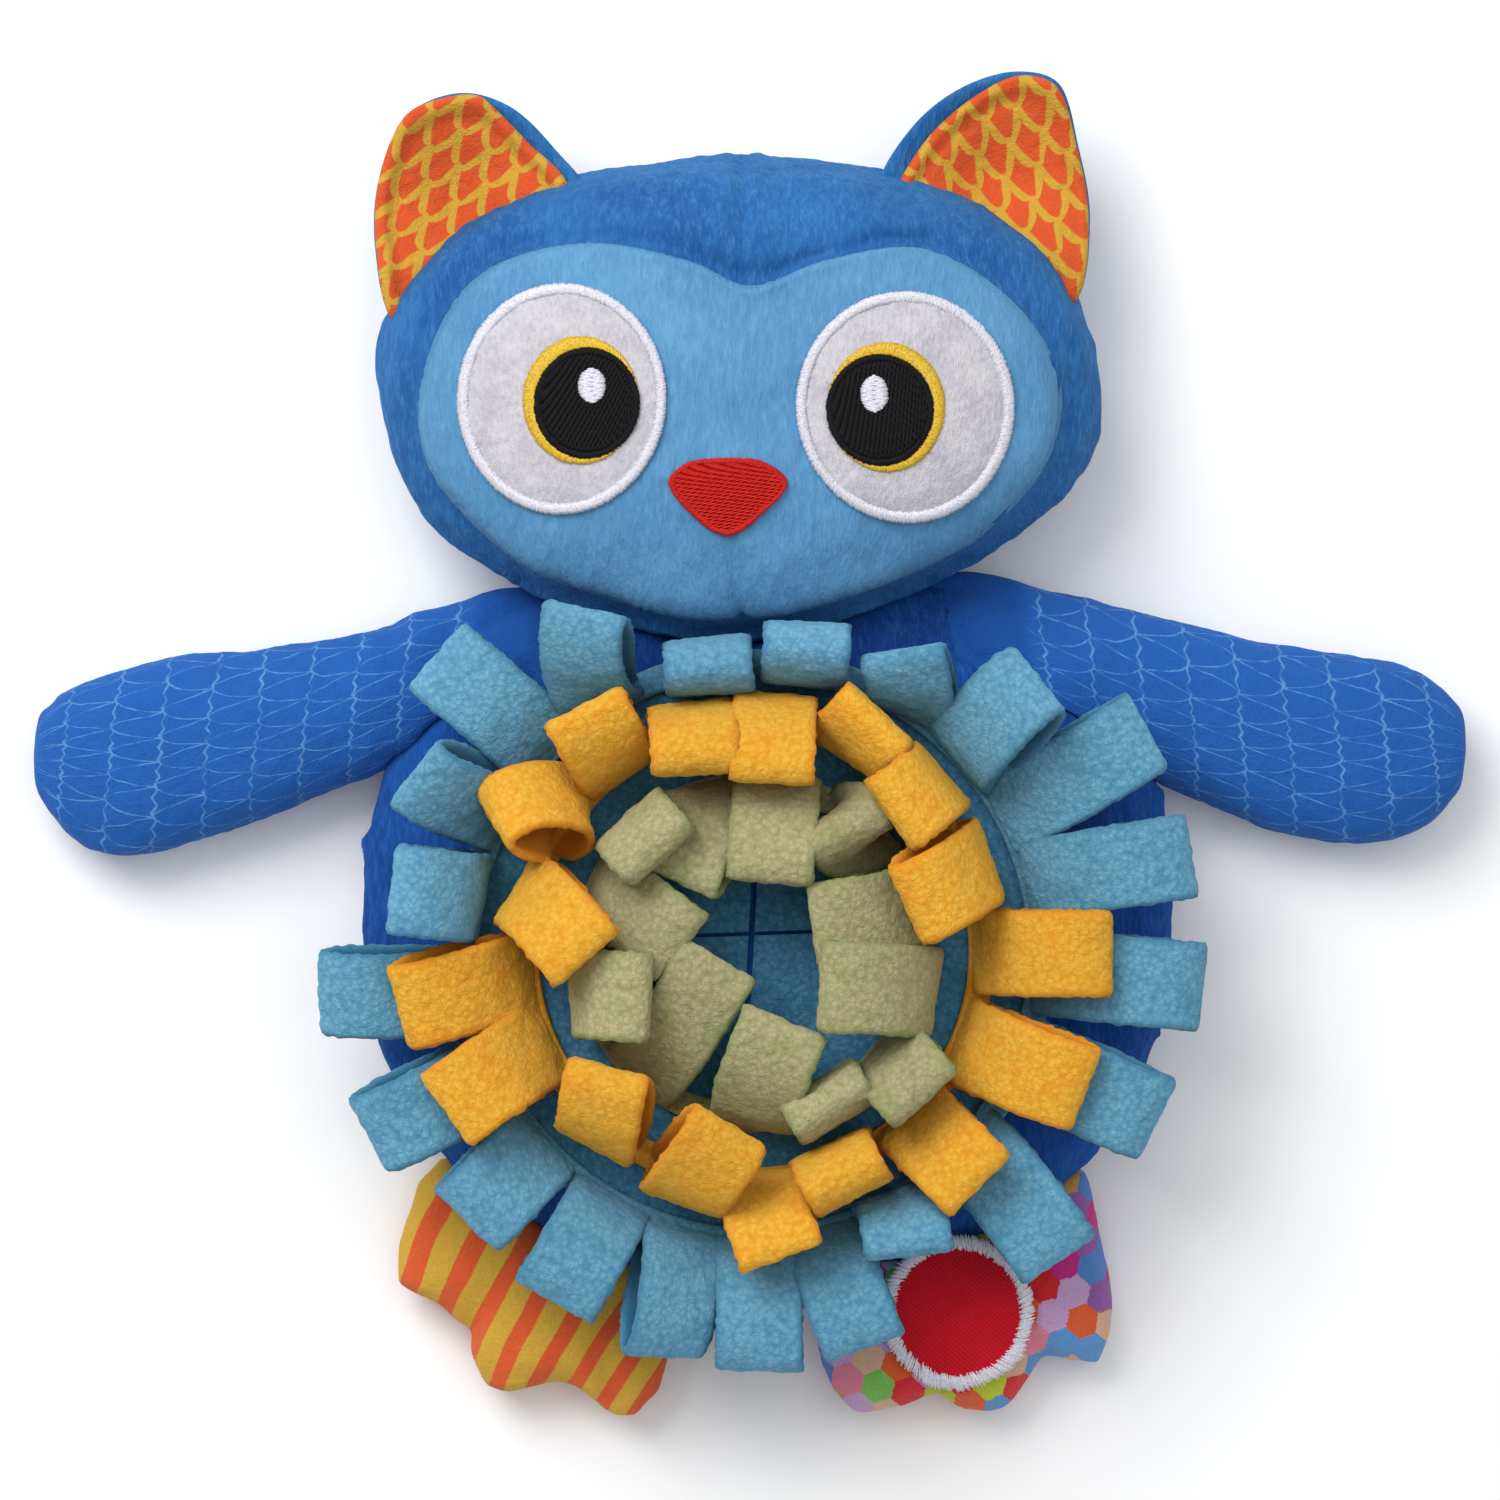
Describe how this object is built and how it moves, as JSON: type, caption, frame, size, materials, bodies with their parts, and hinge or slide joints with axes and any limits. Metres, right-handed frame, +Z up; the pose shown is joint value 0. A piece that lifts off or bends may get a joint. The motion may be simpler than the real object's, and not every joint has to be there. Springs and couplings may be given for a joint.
{
  "type": "plush snuffle toy",
  "caption": "Soft stuffed owl toy lying on its back, its belly covered with rings of fleece loops that hide treats for a dog.",
  "frame": {"origin": "on the floor, under the middle of the toy's bounding box", "axes": "+X to the right of the picture along both arms, +Y to the top of the head, +Z up out of the face"},
  "size_m": [0.3004, 0.2804, 0.0648],
  "materials": {
    "crown_plush": "short soft plush, dark blue",
    "face_plush": "short soft plush, light blue",
    "white_twill": "fine woven cloth with a satin stitched rim",
    "black_thread": "dense embroidery",
    "red_thread": "dense embroidery",
    "ear_print": "printed velour, orange drops on a gold net",
    "body_plush": "short soft plush, royal blue",
    "base_fleece": "nubby fleece, light blue",
    "blue_fleece": "nubby fleece, light blue",
    "yellow_fleece": "nubby fleece, golden yellow",
    "green_fleece": "nubby fleece, sage green",
    "arm_print": "short plush, royal blue with a thin light net",
    "striped_print": "short plush with orange and mustard stripes",
    "hexagon_print": "short plush with small hexagons in many colours",
    "red_twill": "fine twill with a white satin stitched rim"
  },
  "bodies": {
    "root": {"head": "crown_plush", "face_panel": "face_plush", "eye_left": "white_twill", "eye_right": "white_twill", "pupil_left": "black_thread", "pupil_right": "black_thread", "beak": "red_thread", "ear_left_back": "crown_plush", "ear_left_front": "ear_print", "ear_right_back": "crown_plush", "ear_right_front": "ear_print", "body": "body_plush", "snuffle_base": "base_fleece", "loops_outer_right": "blue_fleece", "loops_outer_top": "blue_fleece", "loops_outer_left": "blue_fleece", "loops_outer_bottom": "blue_fleece", "loops_middle_upper": "yellow_fleece", "loops_middle_lower": "yellow_fleece", "loops_inner_upper": "green_fleece", "loops_inner_lower": "green_fleece", "arm_left": "arm_print", "arm_right": "arm_print", "foot_left": "striped_print", "foot_right": "hexagon_print", "patch": "red_twill"}
  },
  "joints": []
}
